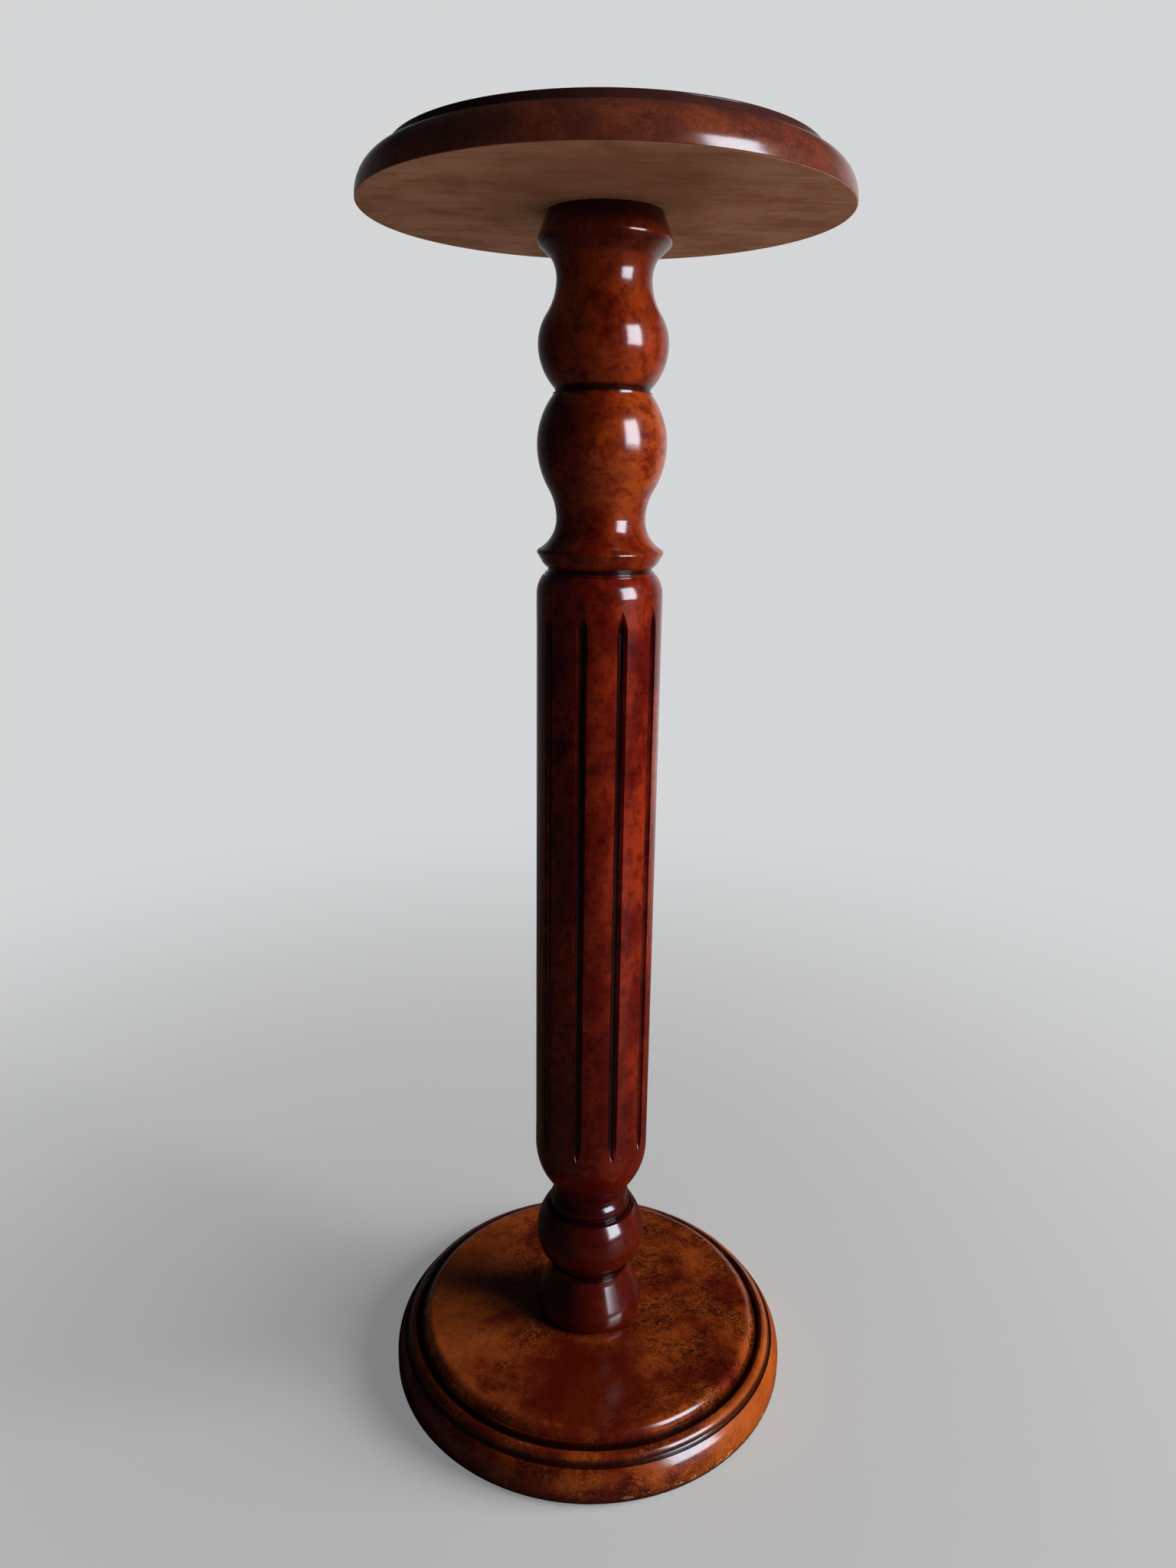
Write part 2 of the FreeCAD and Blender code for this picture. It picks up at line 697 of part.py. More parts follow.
def make_base_washer():
    bore = THREAD_RADIUS + sized("washer_fit")
    outline = Outline(bore, 0)
    outline.line(sized("washer_diameter") / 2, 0)
    outline.line(sized("washer_diameter") / 2, sized("washer_thickness"))
    outline.line(bore, sized("washer_thickness"))
    body = turn("base_washer", outline)
    stand_at(body, WASHER_LEVEL)
    return body


def make_felt_pad(name, angle):
    pad = doc.addObject("Part::Cylinder", name)
    pad.Label = name
    pad.setExpression("Radius", (sized("pad_diameter") / 2).text)
    pad.setExpression("Height", sized("pad_thickness").text)
    stand_at(pad, as_size(0), sized("base_radius") - sized("pad_inset"), angle)
    return pad


# --- build, check and write -----------------------------------------------------------------

foot_level = sized("pad_thickness") + sized("base_thickness")
foot_turning, shaft_level = make_foot_turning(foot_level)
fluted_shaft, vase_level = make_fluted_shaft(shaft_level)
vase_turning, top_level = make_vase_turning(vase_level)
pieces = [
    make_base_board(),
    foot_turning,
    fluted_shaft,
    vase_turning,
    make_top_board(top_level),
    make_dowel("shaft_bottom_dowel", shaft_level),
    make_dowel("shaft_top_dowel", vase_level),
    make_pin("base_pin_1", foot_level, 0),
    make_pin("base_pin_2", foot_level, 180),
    make_pin("top_pin_1", top_level, 0),
    make_pin("top_pin_2", top_level, 180),
    make_insert_nut("base_insert_nut", foot_level),
    make_insert_nut("top_insert_nut", top_level),
    make_top_stud(top_level),
    make_base_bolt(),
    make_base_washer(),
]
for number in range(4):
    pieces.append(make_felt_pad(f"felt_pad_{number + 1}", 45 + 90 * number))

doc.recompute()

for item in doc.Objects:
    if "Invalid" in item.State or "Error" in item.State:
        raise RuntimeError(f"{item.Label} did not recompute: {item.State}")

for piece in pieces:
    shape = piece.Shape
    if shape.isNull() or not shape.isValid() or len(shape.Solids) != 1:
        raise RuntimeError(f"{piece.Label} is not one sound solid")
    shape.exportStep(f"parts/{piece.Label}.step")
    box = shape.optimalBoundingBox()
    print(f"{piece.Label:20s} z {box.ZMin:7.2f} to {box.ZMax:7.2f}"
          f"  x {box.XMin:7.2f} to {box.XMax:7.2f}  volume {shape.Volume / 1000:8.2f} cm3")
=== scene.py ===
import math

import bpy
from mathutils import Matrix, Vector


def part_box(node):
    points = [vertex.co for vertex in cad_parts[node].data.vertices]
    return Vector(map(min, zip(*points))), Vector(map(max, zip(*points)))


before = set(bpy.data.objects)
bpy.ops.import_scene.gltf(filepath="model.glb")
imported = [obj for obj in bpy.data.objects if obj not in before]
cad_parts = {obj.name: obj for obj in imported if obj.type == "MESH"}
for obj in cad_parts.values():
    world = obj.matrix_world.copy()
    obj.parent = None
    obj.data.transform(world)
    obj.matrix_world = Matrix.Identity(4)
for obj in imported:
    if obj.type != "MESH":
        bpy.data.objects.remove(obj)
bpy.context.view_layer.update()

# %% [markdown]
# A pedestal column stand: a round top on a turned and fluted column over a moulded round
# base, in red-brown stained wood under a glossy lacquer. The shapes come with the frame, so
# this lesson is about finish and light. Each step first says what the thing is on the real
# stand, how it could be made, and why this way was chosen.

MM = 0.001
print("pieces:", sorted(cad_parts))

# %% [markdown]
# ## Where the pieces end
# Stain gathers in grooves and under edges, so the finishes have to know where those are.
# Plain heights could be typed in, but they would be wrong as soon as a piece grew. Here the
# ends and the radii of the pieces are read from the frame, and every groove is given as a
# short way from one of them. All finishes work in millimetres.

# %% Ends and radii of the pieces
def ends(piece):
    """The heights of a piece's lower and upper end."""
    low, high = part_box(piece)
    return low[2] / MM, high[2] / MM


def radius(piece):
    """How far a piece reaches from the stand's axis."""
    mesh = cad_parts[piece].data
    return max(math.hypot(v.co.x, v.co.y) for v in mesh.vertices) / MM


SOLE, TABLE = ends("base_board")
SHAFT_FOOT, SHAFT_HEAD = ends("fluted_shaft")
VASE_FOOT, UNDERSIDE = ends("vase_turning")
TOP_FACE = ends("top_board")[1]
BASE_RADIUS = radius("base_board")
SHAFT_RADIUS = radius("fluted_shaft")
TOP_RADIUS = radius("top_board")
print("heights:", [round(z, 1) for z in (SOLE, TABLE, SHAFT_FOOT, VASE_FOOT, UNDERSIDE, TOP_FACE)])
print("radii:", [round(r, 1) for r in (BASE_RADIUS, SHAFT_RADIUS, TOP_RADIUS)])

# %% [markdown]
# ## Helpers for node materials
# A finish is a small graph of nodes. Nodes can be placed one by one with their sockets, but
# then the idea drowns in lines. These helpers make a node, set its inputs and link it in one
# call, so that a finish reads like a recipe. The world is a graph of nodes too, and uses the
# same ones.

# %% A workbench for any graph of nodes
class Graph:
    """A node tree that is built up by calls, most of which give an output socket."""

    def __init__(self, tree):
        self.nodes = tree.nodes
        self.links = tree.links
        self.nodes.clear()

    def feed(self, socket, value):
        """Links a socket to another one, or sets it to a plain value."""
        if isinstance(value, bpy.types.NodeSocket):
            self.links.new(value, socket)
        else:
            socket.default_value = value

    def node(self, kind, inputs=(), **settings):
        """Makes a node with its settings, and feeds its inputs."""
        node = self.nodes.new(kind)
        for key, value in settings.items():
            setattr(node, key, value)
        for key, value in dict(inputs).items():
            self.feed(node.inputs[key], value)
        return node

    def math(self, operation, first, second=0.0):
        return self.node("ShaderNodeMath", {0: first, 1: second}, operation=operation).outputs[0]

    def times(self, first, *others):
        """The product of all that is given."""
        for other in others:
            first = self.math("MULTIPLY", first, other)
        return first

    def away(self, reading, middle):
        """How far a reading is from a middle, on either side."""
        return self.math("ABSOLUTE", self.math("SUBTRACT", reading, middle))

    def ramp(self, reading, low, high, to_low=0.0, to_high=1.0):
        """A smooth step from one value to another between two readings."""
        return self.node("ShaderNodeMapRange", {"Value": reading, "From Min": low,
                                                "From Max": high, "To Min": to_low,
                                                "To Max": to_high},
                         interpolation_type="SMOOTHSTEP").outputs["Result"]

    def band(self, reading, middle, half_width, strength):
        """That strength round the middle of a band of readings, and 0 outside the band."""
        return self.ramp(self.away(reading, middle), half_width * 0.35, half_width, strength, 0.0)

    def blend(self, share, first, second, mode="MIX"):
        """The first colour where the share is 0, and the second where it is 1."""
        return self.node("ShaderNodeMix", {0: share, 6: first, 7: second}, data_type="RGBA",
                         blend_type=mode).outputs[2]

    def rays(self, *kinds):
        """1 for the rays of those kinds, and 0 for all others."""
        is_kind = self.node("ShaderNodeLightPath").outputs
        total = is_kind[kinds[0]]
        for kind in kinds[1:]:
            total = self.math("MAXIMUM", total, is_kind[kind])
        return total


def rgb(red, green, blue):
    return (red, green, blue, 1.0)


print("a graph can make", [name for name in vars(Graph) if not name.startswith("_")])

# %% [markdown]
# A stain is laid in thin coats: first a ground, then a darker or a warmer tone in some
# places, each over the last. Painted light and painted shade are laid in the same way. So a
# finish keeps the colour that was laid so far, and each new tone comes with the shares that
# say where and how strongly it shows. The places are read on the piece's own coordinates,
# which don't slide when the view or the piece moves.

# %% A workbench for one finish
class Finish(Graph):
    """A material whose patterns lie on a piece's own coordinates, in millimetres."""

    def __init__(self, name, ground):
        self.material = bpy.data.materials.new(name)
        self.material.use_nodes = True
        super().__init__(self.material.node_tree)
        self.ground = ground
        self.shader = self.node("ShaderNodeBsdfPrincipled")
        self.output = self.node("ShaderNodeOutputMaterial", {0: self.shader.outputs[0]})
        metres = self.node("ShaderNodeTexCoord").outputs["Object"]
        self.place = self.node("ShaderNodeVectorMath", {0: metres, "Scale": 1 / MM},
                               operation="SCALE").outputs[0]
        parts = self.node("ShaderNodeSeparateXYZ", {0: self.place}).outputs
        self.across, self.along, self.height = parts
        level = self.node("ShaderNodeCombineXYZ", {0: self.across, 1: self.along}).outputs[0]
        self.reach = self.node("ShaderNodeVectorMath", {0: level},
                               operation="LENGTH").outputs["Value"]

    def distance(self, point):
        """How far a place is from a point."""
        return self.node("ShaderNodeVectorMath", {0: self.place, 1: point},
                         operation="DISTANCE").outputs["Value"]

    def noise(self, size, stretch=(1, 1, 1), detail=4.0, roughness=0.55, shift=0.0, place=None,
              output="Fac"):
        """Noise with features of about the given size, drawn out along chosen axes."""
        mapping = self.node("ShaderNodeMapping", {"Vector": place or self.place,
                                                  "Scale": [1 / (size * s) for s in stretch],
                                                  "Location": (shift, shift * 1.7, shift * 0.6)})
        noise = self.node("ShaderNodeTexNoise", {"Vector": mapping.outputs[0], "Scale": 1.0,
                                                 "Detail": detail, "Roughness": roughness})
        return noise.outputs[output]

    def bent_place(self, size, strength):
        """The place, pushed to and fro by a slow noise, so that a pattern on it flows."""
        push = self.noise(size, detail=2.0, roughness=0.5, output="Color")
        push = self.node("ShaderNodeVectorMath", {0: push, 1: (0.5, 0.5, 0.5)},
                         operation="SUBTRACT").outputs[0]
        push = self.node("ShaderNodeVectorMath", {0: push, "Scale": strength},
                         operation="SCALE").outputs[0]
        return self.node("ShaderNodeVectorMath", {0: self.place, 1: push}).outputs[0]

    def lay(self, color, *shares, mode="MIX"):
        """Lays a colour over the ground, as strongly as the product of the shares."""
        self.ground = self.blend(self.times(*shares), self.ground, color, mode)

    def bump(self, height, depth):
        """A normal that is raised by a pattern, to that depth."""
        return self.node("ShaderNodeBump", {"Height": height, "Strength": 1.0,
                                            "Distance": depth * MM}).outputs[0]

    def close(self, **values):
        """Gives the shader the ground and its other values."""
        for key, value in {"Base_Color": self.ground, **values}.items():
            self.feed(self.shader.inputs[key.replace("_", " ")], value)
        print("finish:", self.material.name, "with", len(self.nodes), "nodes")

# %% [markdown]
# ## Stained and lacquered wood
# What the eye reads on a turned piece is a red-brown ground with slow clouds, mottling and
# dark flecks. One noise cannot hold all of that, so there is one per scale: clouds of a few
# centimetres, a mottle of some millimetres, flecks, the faint rings that the turning left,
# and pores as fine as a hair. The lacquer over them is the shader's coat, and the ground
# below it needs no shine of its own.

# %% The stained ground of the turnings, and the lacquer
STAIN_ORANGE = rgb(0.345, 0.038, 0.0050)
# A warm tone, used as painted light on the lit right of the vase.
WARM_PAINTED_LIGHT = rgb(0.480, 0.085, 0.0080)
STAIN_RED = rgb(0.145, 0.0070, 0.0017)
# The deep and the dark tone are stain in the wood, and also painted shade where they are laid by
# place.
DEEP_STAIN_AND_SHADE = rgb(0.052, 0.0018, 0.0010)
DARK_STAIN_AND_SHADE = rgb(0.011, 0.0009, 0.0008)
LEFT_FLANK = -32
GROUND_ROUGHNESS = 0.45
CLEAR_COAT_IOR = 1.5
TURNING_PORES = 0.01
TURNING_GLOSS = 0.15


def stain_turning(name):
    """The stained ground of a turned piece, with its pores."""
    finish = Finish(name, STAIN_RED)
    clouds = finish.noise(26, stretch=(1, 1, 1.6), detail=6.0, roughness=0.62, shift=3.1)
    mottle = finish.noise(5.5, stretch=(1, 1, 1.3), detail=6.0, roughness=0.68, shift=5.2)
    flecks = finish.noise(1.7, stretch=(1, 1, 1.5), detail=4.0, roughness=0.6, shift=7.7)
    rings = finish.noise(1.2, stretch=(30, 30, 1), detail=3.0, shift=2.4)
    pores = finish.noise(0.7, stretch=(1, 1, 7), detail=3.0, shift=1.3)
    finish.lay(STAIN_ORANGE, finish.ramp(clouds, 0.38, 0.62))
    finish.lay(DEEP_STAIN_AND_SHADE, finish.ramp(mottle, 0.42, 0.66, 0.0, 0.60))
    finish.lay(DEEP_STAIN_AND_SHADE, finish.ramp(mottle, 0.38, 0.62, 0.15, 0.45),
               finish.ramp(flecks, 0.48, 0.70))
    finish.lay(DARK_STAIN_AND_SHADE, finish.ramp(rings, 0.52, 0.75, 0.0, 0.22))
    finish.lay(DARK_STAIN_AND_SHADE, finish.ramp(pores, 0.55, 0.75, 0.0, 0.25))
    return finish, pores


def paint_left_shade(finish, right_end, strength):
    """Paints shade over the left flank, away from the light, and less and less up to that place
    across it.
    """
    finish.lay(DARK_STAIN_AND_SHADE, finish.ramp(finish.across, LEFT_FLANK, right_end, strength, 0.0))


def stain_and_shade_hollows(finish, *hollows):
    """Lays dark colour in hollows, as stain gathered there and as painted shade, each given by its
    height, half width and strength.
    """
    for height, half_width, strength in hollows:
        finish.lay(DARK_STAIN_AND_SHADE, finish.band(finish.height, height, half_width, strength))


def lacquer(finish, pores, pore_depth, coat_roughness, coat_weight=1.0):
    """A clear coat over a dull ground with fine pores."""
    finish.close(Roughness=GROUND_ROUGHNESS, IOR=CLEAR_COAT_IOR, Specular_IOR_Level=0.0,
                 Normal=finish.bump(pores, pore_depth), Coat_Weight=coat_weight,
                 Coat_Roughness=coat_roughness, Coat_IOR=CLEAR_COAT_IOR)


print("stains:", STAIN_ORANGE[:3], "to", DARK_STAIN_AND_SHADE[:3])

# %% [markdown]
# ## The head of the column
# The vase turning is the warmest piece: orange-brown clouds lie on the right of its two
# bulbs, more on the lower one, as painted light where the window falls, and painted shade
# deepens the tone up to the collar, under the top. Dark colour sits at its foot, in the groove
# between the bulbs, at the edge of the collar and where the collar meets the top: stain
# gathered in the hollows, and painted shade, strongest under the top. The left flank gets
# painted shade. The warmth is one more noise, kept to its places by ramps over the height and
# across the piece.

# %% Vase turning
BULB_GROOVE = VASE_FOOT + 93
COLLAR_EDGE = UNDERSIDE - 18
vase, vase_pores = stain_turning("vase lacquer")
# Painted light: warm orange clouds laid only on the right of the bulbs, where the window light
# falls.
painted_light_clouds = vase.noise(13, stretch=(1, 1, 0.6), detail=6.0, roughness=0.65, shift=8.2)
vase.lay(WARM_PAINTED_LIGHT, vase.ramp(painted_light_clouds, 0.42, 0.64, 0.0, 0.6),
         vase.ramp(vase.across, -24, 14),
         vase.ramp(vase.height, VASE_FOOT + 14, VASE_FOOT + 45, 0.15, 1.0),
         vase.ramp(vase.height, BULB_GROOVE - 14, BULB_GROOVE + 21, 1.0, 0.35))
# Painted shade under the top: the tone deepens up to the collar.
vase.lay(DEEP_STAIN_AND_SHADE, vase.ramp(vase.height, UNDERSIDE - 49, UNDERSIDE, 0.0, 0.55))
# Painted shade on the left flank, away from the light.
paint_left_shade(vase, 6, 0.6)
# Dark hollows: stain gathered there and painted shade; the wide band at the underside is painted
# shade under the top.
stain_and_shade_hollows(vase, (VASE_FOOT + 0.2, 1.9, 0.9), (BULB_GROOVE, 2.8, 0.9),
             (COLLAR_EDGE, 6, 0.5), (UNDERSIDE, 14, 0.9))
lacquer(vase, vase_pores, TURNING_PORES, TURNING_GLOSS)

# %% [markdown]
# ## The foot of the column
# The foot turning is much darker than the rest of the column: nearly all of it is deep red,
# which is painted shade for the dimmer light low on the stand, and its groove and both its
# joints are almost black, with stain gathered there and painted shade. It has the same ground
# as the other turnings, so that they match, with one strong coat of the deep tone over it.

# %% Foot turning
FOOT_GROOVE = TABLE + 34.5
foot, foot_pores = stain_turning("foot lacquer")
# Painted shade over the whole foot, for the dimmer light low on the stand.
foot.lay(DEEP_STAIN_AND_SHADE, 0.8)
# Painted shade on the left flank, away from the light.
paint_left_shade(foot, 6, 0.6)
# Dark hollows at the joints and the groove: stain gathered there and painted shade.
stain_and_shade_hollows(foot, (TABLE, 4, 0.6), (FOOT_GROOVE, 5, 0.8), (SHAFT_FOOT - 1.4, 3, 0.9))
lacquer(foot, foot_pores, TURNING_PORES, TURNING_GLOSS)

# %% [markdown]
# ## The fluted shaft
# The flutes hold the stain, and shade falls in them: their floors are nearly black, for stain
# and painted shade together, while the flats between them keep the clouds. The darkening
# could be drawn in an image, but the distance from the axis already tells a flute from a
# flat, so the finish reads that distance where the shaft is straight. Near their upper ends
# the flutes run out, so there the dark starts closer to the surface. The whole shaft has a
# redder glaze than the vase turning, and painted shade darkens it towards its foot and on
# its left flank.

# %% Dark floors in the flutes
RED_GLAZE = rgb(0.90, 0.62, 0.75)
FLUTES_FROM = SHAFT_FOOT + 46.6
FLUTES_TO = SHAFT_HEAD - 15
SHAFT_NECK = SHAFT_FOOT + 7.6
shaft, shaft_pores = stain_turning("shaft lacquer")
# Painted shade, darker towards the foot of the shaft, where the light is dimmer.
shaft.lay(DEEP_STAIN_AND_SHADE, shaft.ramp(shaft.height, SHAFT_FOOT + 7, SHAFT_FOOT + 217, 0.55, 0.0))
shaft.lay(RED_GLAZE, 1.0, mode="MULTIPLY")
# Painted shade on the left flank, away from the light.
paint_left_shade(shaft, 14, 0.45)
# The flute floors: stain held there and painted shade.
flute_dark_from = shaft.ramp(shaft.height, SHAFT_HEAD - 49, SHAFT_HEAD - 27, SHAFT_RADIUS - 1.9,
                        SHAFT_RADIUS - 0.45)
shaft.lay(DARK_STAIN_AND_SHADE, shaft.ramp(shaft.reach, SHAFT_RADIUS - 2.85, flute_dark_from, 0.92, 0.0),
          shaft.ramp(shaft.height, FLUTES_FROM - 3, FLUTES_FROM + 3),
          shaft.ramp(shaft.height, FLUTES_TO - 2, FLUTES_TO + 2, 1.0, 0.0))
# Dark hollows at the neck and the head: stain gathered there and painted shade.
stain_and_shade_hollows(shaft, (SHAFT_NECK, 9, 0.6), (SHAFT_HEAD, 1.7, 0.9))
lacquer(shaft, shaft_pores, TURNING_PORES, TURNING_GLOSS)

# %% [markdown]
# ## The two boards
# The boards show a burr-like figure: patches of dark specks drift over an orange-brown
# ground, with thin dark veins between them. The drifts, the specks and the veins are noises
# on a bent place, so that they flow. The drifts decide where the blots and the specks are
# dense, and a vein is drawn wherever its noise passes through its middle value.

# %% Burr figure
BURR_ORANGE = rgb(0.53, 0.100, 0.013)
BURR_RED = rgb(0.19, 0.0130, 0.0024)
BURR_DARK = rgb(0.045, 0.0045, 0.0017)


def stain_board(name):
    """The burr-like ground of a board, with its grain."""
    finish = Finish(name, BURR_RED)
    bent = finish.bent_place(size=35.714, strength=22)
    tone = finish.noise(32, detail=4.0, roughness=0.6, shift=2.0)
    drifts = finish.noise(14, stretch=(1.4, 1, 1), detail=4.0, shift=5.3, place=bent)
    blots = finish.noise(3.6, detail=5.0, roughness=0.7, shift=6.6, place=bent)
    specks = finish.noise(1.3, detail=4.0, roughness=0.65, shift=9.1, place=bent)
    veins = finish.noise(7.0, stretch=(1, 1.8, 1), detail=6.0, roughness=0.72, shift=3.7,
                         place=bent)
    grain = finish.noise(0.9, stretch=(7, 1, 1), detail=3.0, shift=4.4, place=bent)
    density = finish.ramp(drifts, 0.36, 0.62, 0.18, 0.85)
    finish.lay(BURR_ORANGE, finish.ramp(tone, 0.36, 0.64))
    finish.lay(BURR_DARK, density, finish.ramp(blots, 0.40, 0.66))
    finish.lay(DARK_STAIN_AND_SHADE, density, finish.ramp(specks, 0.44, 0.60))
    finish.lay(BURR_DARK, finish.ramp(finish.away(veins, 0.5), 0.0, 0.022, 0.55, 0.0))
    finish.lay(BURR_DARK, finish.ramp(grain, 0.46, 0.72, 0.0, 0.4))
    return finish, grain


BOARD_GRAIN = 0.008
BOARD_GLOSS = 0.17
print("burr:", BURR_ORANGE[:3], "to", BURR_DARK[:3])

# %% [markdown]
# ## The base
# The table of the base gets a painted dark red patch in front of the column, for the
# column's shade and reflection there, and is paler at the left, partly its own tone and
# partly painted light that lifts the column's shadow. Its mouldings hold dark stain and
# painted shade in their two grooves, which the distance from the axis finds. The rim gets
# painted shade at the left and painted light at the right, and painted shade darkens the low
# round that faces the floor. Low on the right, the lacquer is worn through in small chips,
# and bare wood shows.

# %% Base board
# Painted shade: a dark red for the column's shade and reflection on the table.
COLUMN_SHADE_RED = rgb(0.115, 0.0075, 0.0018)
# The table's paler tone at the left, and painted light there.
TABLE_PALE_AND_LIT = rgb(0.52, 0.115, 0.018)
# A bright tone for painted light on the right of the rim.
RIM_PAINTED_LIGHT = rgb(0.58, 0.120, 0.012)
BARE_WOOD = rgb(0.62, 0.30, 0.12)
INNER_GROOVE = BASE_RADIUS - 14.4
OUTER_GROOVE = BASE_RADIUS - 6
CHIPPED = SOLE + 4.9
base, base_grain = stain_board("base lacquer")
ragged = base.noise(16, detail=4.0, shift=3.3)
# Painted dark red patch in front of the column, for its shade and reflection there.
column_shade_edge = base.math("ADD", base.distance((0, -72, TABLE)), base.ramp(ragged, 0.3, 0.7, -14, 14))
base.lay(COLUMN_SHADE_RED, base.ramp(column_shade_edge, 20, 62, 0.85, 0.0))
# Paler at the left: the table's own tone, and painted light that lifts the column's shadow there.
lit_patch_edge = base.math("ADD", base.across, base.ramp(ragged, 0.3, 0.7, -20, 20))
base.lay(TABLE_PALE_AND_LIT, base.ramp(lit_patch_edge, -85, -30, 0.45, 0.0),
         base.ramp(base.reach, BASE_RADIUS - 25, BASE_RADIUS - 17, 1.0, 0.0))
# Painted light on the rim at the right, where the light falls.
base.lay(RIM_PAINTED_LIGHT, base.ramp(base.across, 40, 105, 0.0, 0.5),
         base.ramp(base.reach, BASE_RADIUS - 13, BASE_RADIUS - 7))
# Painted shade on the rim at the left, away from the light.
base.lay(DEEP_STAIN_AND_SHADE, base.ramp(base.across, -100, 0, 0.75, 0.0),
         base.ramp(base.reach, BASE_RADIUS - 17, BASE_RADIUS - 12))
# The two grooves: stain gathered there and painted shade.
base.lay(DARK_STAIN_AND_SHADE, base.band(base.reach, INNER_GROOVE, 2.6, 0.9))
base.lay(DARK_STAIN_AND_SHADE, base.band(base.reach, OUTER_GROOVE, 1.6, 0.9))
# Painted shade on the low round of the base, which faces the floor.
base.lay(DARK_STAIN_AND_SHADE, base.ramp(base.height, SOLE + 1.5, SOLE + 7.5, 0.8, 0.0))
chips = base.noise(5.0, detail=5.0, roughness=0.7, shift=2.9)
base.lay(BARE_WOOD, base.band(base.height, CHIPPED, 1.6, 1.0), base.ramp(chips, 0.52, 0.60),
         base.ramp(base.across, 0, 45, 0.0, 0.8))
lacquer(base, base_grain, BOARD_GRAIN, BOARD_GLOSS)

# %% [markdown]
# ## The top
# The edge of the top is browner than the base, and darkest on its thin lip, and painted
# shade darkens it at the front left. From below, the top shows a face that was stained and
# only thinly sealed: a satin mid brown with faint, straight grain, worn marks at the left,
# and painted shade in front of the column. The top is one board, so it is one material with
# two grounds, which changes from gloss to satin at the height of that face.

# %% The gloss of the top
TOP_BROWN = rgb(0.13, 0.041, 0.030)
LIP_DARK = rgb(0.045, 0.016, 0.015)
# Painted shade for the front left of the edge.
EDGE_PAINTED_SHADE = rgb(0.040, 0.014, 0.013)
top, top_grain = stain_board("top lacquer")
top.lay(TOP_BROWN, 0.60)
top.lay(LIP_DARK, top.ramp(top.height, TOP_FACE - 7, TOP_FACE - 4, 0.0, 0.85),
        top.ramp(top.reach, TOP_RADIUS - 19.9, TOP_RADIUS - 17))
# Painted shade on the edge at the front left, away from the light.
top.lay(EDGE_PAINTED_SHADE, top.ramp(top.across, -85, -20, 0.45, 0.0),
        top.ramp(top.along, -90, -20, 1.0, 0.0))
gloss_ground = top.ground
print("the gloss is laid from", round(UNDERSIDE, 1), "to", round(TOP_FACE, 1), "mm")

# %% The satin of its underside
SATIN_BROWN = rgb(0.60, 0.305, 0.185)
SATIN_DRIFT = rgb(0.42, 0.180, 0.103)
SATIN_DARK = rgb(0.17, 0.060, 0.030)
# Painted shade for the underside near the column.
SATIN_PAINTED_SHADE = rgb(0.24, 0.080, 0.040)
drift = top.noise(26, stretch=(1.3, 1, 1), detail=5.0, roughness=0.62, shift=7.4)
streaks = top.noise(2.4, stretch=(26, 1, 1), detail=5.0, roughness=0.6, shift=6.1)
ticks = top.noise(1.5, stretch=(2.5, 1, 1), detail=4.0, roughness=0.7, shift=8.8)
top.ground = SATIN_BROWN
top.lay(SATIN_DRIFT, top.ramp(drift, 0.34, 0.68))
top.lay(SATIN_DARK, top.ramp(streaks, 0.35, 0.7, 0.0, 0.22))
top.lay(SATIN_DARK, top.ramp(ticks, 0.58, 0.70, 0.0, 0.75),
        top.ramp(top.across, -95, -50, 1.0, 0.15))
# Painted shade on the underside in front of the column.
top.lay(SATIN_PAINTED_SHADE, top.ramp(top.distance((0, -55, UNDERSIDE)), 25, 90, 0.60, 0.0))
above_face = top.ramp(top.height, UNDERSIDE + 0.05, UNDERSIDE + 0.3)
top.lay(gloss_ground, above_face)
lacquer(top, top_grain, BOARD_GRAIN, BOARD_GLOSS, coat_weight=above_face)

# %% [markdown]
# ## Bare beech, steel, brass and felt
# The dowels, the pins and the fixings are seen only when the stand is taken apart, or from
# below. They still get a finish of their own: pale beech with its short flecks, zinc-plated
# steel with a fine brushed grain, brass with turning marks, and felt with a soft nap. Each
# is one tone laid over another, by a noise as fine as its own marks.

# %% Bare beech
BEECH_PALE = rgb(0.60, 0.37, 0.19)
BEECH_TAN = rgb(0.50, 0.28, 0.13)
BEECH_FLECK = rgb(0.30, 0.14, 0.06)
beech = Finish("bare beech", BEECH_PALE)
beech_flecks = beech.noise(0.7, stretch=(1, 1, 4), detail=2.0)
beech_tone = beech.noise(9, stretch=(1, 1, 5), detail=3.0)
beech.lay(BEECH_TAN, beech.ramp(beech_tone, 0.3, 0.7))
beech.lay(BEECH_FLECK, beech.ramp(beech_flecks, 0.58, 0.70, 0.0, 0.6))
beech.close(Roughness=0.62, Normal=beech.bump(beech_flecks, 0.02))

# %% Zinc-plated steel
ZINC_GREY = rgb(0.46, 0.48, 0.50)
ZINC_BRIGHT = rgb(0.60, 0.61, 0.62)
steel = Finish("zinc plated steel", ZINC_GREY)
steel_brush = steel.noise(0.5, stretch=(1, 1, 0.2), detail=3.0)
steel.lay(ZINC_BRIGHT, steel.ramp(steel_brush, 0.3, 0.7))
steel.close(Metallic=1.0, Roughness=steel.ramp(steel_brush, 0.3, 0.7, 0.22, 0.36))

# %% Turned brass
BRASS_DULL = rgb(0.56, 0.36, 0.10)
BRASS_BRIGHT = rgb(0.70, 0.48, 0.17)
brass = Finish("turned brass", BRASS_DULL)
brass_marks = brass.noise(0.3, stretch=(20, 20, 1), detail=2.0)
brass.lay(BRASS_BRIGHT, brass.ramp(brass_marks, 0.3, 0.7))
brass.close(Metallic=1.0, Roughness=0.3)

